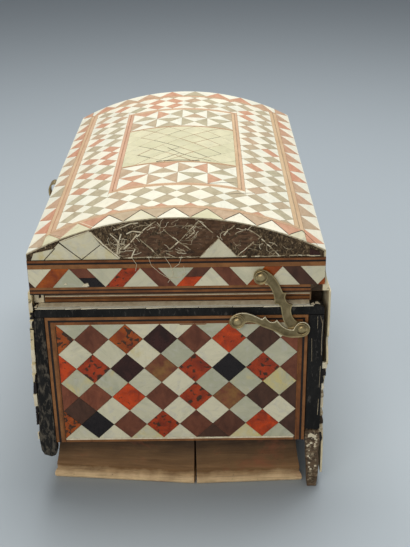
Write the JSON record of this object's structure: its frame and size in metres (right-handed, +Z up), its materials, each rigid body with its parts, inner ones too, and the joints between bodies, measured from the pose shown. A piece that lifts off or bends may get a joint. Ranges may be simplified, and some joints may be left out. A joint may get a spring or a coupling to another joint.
{
  "type": "domed box",
  "caption": "Old domed wooden box with marquetry of shell and dark lozenges, a hinged vaulted lid, a brass elbow stay and a broken coved base.",
  "frame": {"origin": "middle of the overall box, on the surface that the part stands on", "axes": "+Z up, +Y along the box from the end with the elbow stay to the far end, +X towards the hinge side"},
  "size_m": [0.2194, 0.3338, 0.2256],
  "materials": {
    "old_pine": "old dry softwood, brown and matt",
    "bare_board": "bare worn board, fine grain, satin at the rounded foot",
    "dark_ground": "dark rough ground wood with old glue",
    "ebony": "black wood, worn and dusty",
    "marquetry": "lozenges of pearl shell and red, brown and black pieces, half gloss",
    "pearl": "pale shell pieces with thin coloured strips, half gloss",
    "bone_edge": "cream edge of a thin veneer",
    "brass": "aged greenish brass with brighter edges"
  },
  "bodies": {
    "box": {"carcass": "old_pine", "end_panel_near": "marquetry", "ebony_rail_near": "ebony", "ebony_stile_near_left": "ebony", "ebony_stile_near_right": "ebony", "end_panel_far": "marquetry", "ebony_rail_far_top": "ebony", "ebony_rail_far_bottom": "ebony", "ebony_stile_far_left": "ebony", "ebony_stile_far_right": "ebony", "front_board": "old_pine", "back_board": "dark_ground", "front_skin": "bone_edge", "back_skin": "bone_edge", "base_board_near_left": "bare_board", "base_board_near_right": "bare_board", "corner_post_near_right": "dark_ground", "foot_far_left": "dark_ground", "foot_far_right": "dark_ground", "base_board_far": "bare_board", "base_board_front": "bare_board", "back_apron": "old_pine", "hinge_leaf_body_near": "brass", "hinge_leaf_body_far": "brass", "stay_screw_body": "brass"},
    "lid": {"lid_shell": "dark_ground", "lid_top_veneer": "pearl", "lid_band_near": "marquetry", "lid_band_front": "marquetry", "lid_band_back": "bone_edge", "lid_facing_far": "marquetry", "hinge_leaf_lid_near": "brass", "hinge_leaf_lid_far": "brass", "front_catch": "brass", "stay_screw_lid": "brass"},
    "stay_lower": {"stay_arm_lower": "brass", "stay_rivet": "brass"},
    "stay_upper": {"stay_arm_upper": "brass"}
  },
  "joints": [
    {"name": "lid_hinge", "type": "hinge", "parent": "box", "child": "lid", "pos_m": [0.1082, 0.00295, 0.16815], "axis": [0, 1, 0], "range_deg": [0, 69]},
    {"name": "stay_lower_pivot", "type": "hinge", "parent": "box", "child": "stay_lower", "pos_m": [0.0415, -0.1649, 0.1478], "axis": [0, 1, 0], "range_deg": [-50, 0]},
    {"name": "stay_upper_pivot", "type": "hinge", "parent": "lid", "child": "stay_upper", "pos_m": [0.0579, -0.163, 0.1811], "axis": [0, 1, 0], "range_deg": [-1, 0]}
  ],
  "couplings": [
    {"joint": "stay_lower_pivot", "follows": "lid_hinge", "ratio": -0.72102},
    {"joint": "stay_upper_pivot", "follows": "lid_hinge", "ratio": -0.01211}
  ]
}
